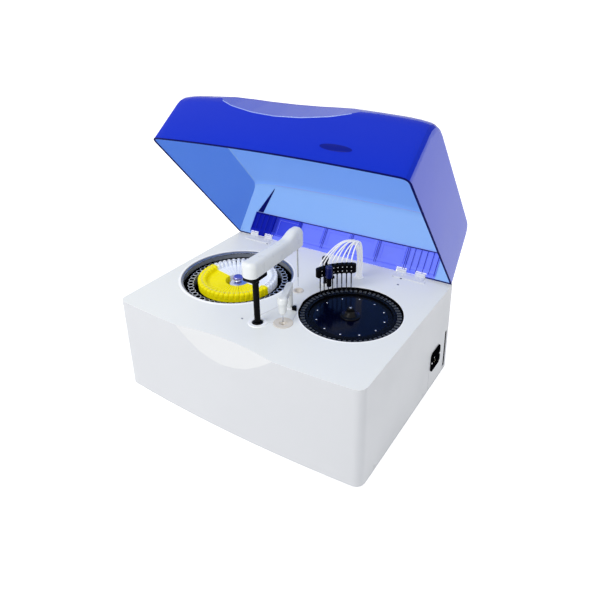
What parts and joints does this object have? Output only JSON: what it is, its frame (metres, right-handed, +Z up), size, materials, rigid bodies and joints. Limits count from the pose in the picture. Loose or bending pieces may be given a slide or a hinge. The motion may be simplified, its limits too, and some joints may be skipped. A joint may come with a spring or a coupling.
{
  "type": "benchtop chemistry analyzer",
  "caption": "Benchtop chemistry analyzer with a hinged blue lid held open over a reagent disc, a reaction disc, a probe arm, a mixer and a wash station.",
  "frame": {"origin": "on the bench, under the middle of the whole box of the analyzer with its lid open", "axes": "+Z up, -Y towards the user in front, +X to the user's right, where the mains inlet is"},
  "size_m": [0.707, 0.6232, 0.7427],
  "materials": {
    "case_white": "satin white moulded shell with a faint cool tint",
    "arm_white": "smooth white moulded cover, soft gloss",
    "hinge_white": "white powder-coated hinge leaves",
    "black_plastic": "black moulded plastic, low sheen",
    "navy_plate": "very dark blue glossy plate",
    "foot_rubber": "black rubber",
    "steel": "polished stainless steel",
    "grey_sheet": "zinc-grey folded sheet",
    "chamber_grey": "dull grey spun metal",
    "lid_blue": "translucent deep blue moulded lid, high gloss",
    "rail_blue": "opaque ultramarine, glossy",
    "bottle_yellow": "lemon-yellow moulded bottles",
    "bottle_white": "milky blue-white moulded bottles",
    "knob_violet": "violet-blue glossy knob with a bright ring",
    "clear_plastic": "clear moulded plastic",
    "well_ivory": "ivory moulded cup",
    "board_green": "green circuit board",
    "tube_white": "soft white tubing"
  },
  "bodies": {
    "root": {"base_pan": "grey_sheet", "control_board": "board_green", "fan_frame": "black_plastic", "fluid_fittings": "steel", "foot_front_left": "foot_rubber", "foot_front_right": "foot_rubber", "foot_rear_left": "foot_rubber", "foot_rear_right": "foot_rubber", "hinge_bracket_left": "hinge_white", "hinge_bracket_right": "hinge_white", "hinge_pin_left": "steel", "hinge_pin_right": "steel", "inlet_module": "black_plastic", "main_cover": "case_white", "mixer_drive": "grey_sheet", "mixer_guide": "black_plastic", "mixer_wash_well": "well_ivory", "photometer": "black_plastic", "power_supply": "grey_sheet", "probe_drive": "grey_sheet", "probe_guide": "black_plastic", "probe_wash_well": "well_ivory", "pump_block": "arm_white", "reaction_bath": "chamber_grey", "reaction_motor": "grey_sheet", "reagent_chamber": "chamber_grey", "reagent_motor": "grey_sheet", "rear_panel": "grey_sheet", "side_vent": "black_plastic", "tube_gland": "black_plastic", "wash_drive": "grey_sheet", "wash_guide": "black_plastic"},
    "lid": {"lid_shell": "lid_blue", "lid_hinge_rail": "rail_blue"},
    "reagent_disc": {"reagent_shaft": "steel", "reagent_rotor": "black_plastic", "sample_cups": "clear_plastic", "yellow_bottles": "bottle_yellow", "white_bottles": "bottle_white", "reagent_knob": "knob_violet"},
    "reaction_disc": {"reaction_shaft": "steel", "reaction_rotor": "black_plastic", "cuvettes": "clear_plastic", "reaction_cover_plate": "navy_plate", "reaction_knob": "black_plastic"},
    "probe_lift": {"probe_column": "black_plastic"},
    "probe_arm": {"probe_arm_base": "black_plastic", "probe_arm_cover": "arm_white", "probe_needle": "steel"},
    "mixer_lift": {"mixer_column": "arm_white"},
    "mixer_arm": {"mixer_arm": "arm_white"},
    "mixer_paddle": {"mixer_paddle": "steel"},
    "wash_head": {"wash_column": "black_plastic", "wash_manifold": "black_plastic", "wash_needles": "steel", "wash_cap": "navy_plate", "wash_tubes": "tube_white"},
    "fan_rotor": {"fan_rotor": "black_plastic"},
    "power_rocker": {"power_rocker": "black_plastic"},
    "fuse_drawer": {"fuse_drawer": "black_plastic"}
  },
  "joints": [
    {"name": "lid_hinge", "type": "hinge", "parent": "root", "child": "lid", "pos_m": [-0.00205, 0.21292, 0.2705], "axis": [1, 0, 0], "range_deg": [0, 49.3]},
    {"name": "reagent_spin", "type": "hinge", "parent": "root", "child": "reagent_disc", "pos_m": [-0.17105, -0.03158, 0.263], "axis": [0, 0, 1], "continuous": true},
    {"name": "reaction_spin", "type": "hinge", "parent": "root", "child": "reaction_disc", "pos_m": [0.18595, -0.04458, 0.263], "axis": [0, 0, 1], "continuous": true},
    {"name": "probe_lift", "type": "slide", "parent": "root", "child": "probe_lift", "axis": [0, 0, 1], "range_m": [-0.042, 0]},
    {"name": "probe_swing", "type": "hinge", "parent": "probe_lift", "child": "probe_arm", "pos_m": [0.01995, -0.19858, 0.388], "axis": [0, 0, 1], "range_deg": [-16.33, 31.37]},
    {"name": "mixer_lift", "type": "slide", "parent": "root", "child": "mixer_lift", "axis": [0, 0, 1], "range_m": [-0.02, 0]},
    {"name": "mixer_swing", "type": "hinge", "parent": "mixer_lift", "child": "mixer_arm", "pos_m": [0.04795, -0.10058, 0.313], "axis": [0, 0, 1], "range_deg": [0, 41.16]},
    {"name": "mixer_spin", "type": "hinge", "parent": "mixer_arm", "child": "mixer_paddle", "pos_m": [0.07348, -0.16961, 0.273], "axis": [0, 0, 1], "continuous": true},
    {"name": "wash_lift", "type": "slide", "parent": "root", "child": "wash_head", "axis": [0, 0, 1], "range_m": [-0.025, 0], "deforming": ["wash_tubes"]},
    {"name": "fan_spin", "type": "hinge", "parent": "root", "child": "fan_rotor", "pos_m": [-0.18205, 0.176, 0.12], "axis": [0, 1, 0], "continuous": true},
    {"name": "power_rock", "type": "hinge", "parent": "root", "child": "power_rocker", "pos_m": [0.34825, 0.10892, 0.1035], "axis": [0, 0, 1], "range_deg": [-16, 0]},
    {"name": "fuse_slide", "type": "slide", "parent": "root", "child": "fuse_drawer", "axis": [1, 0, 0], "range_m": [0, 0.01]}
  ]
}
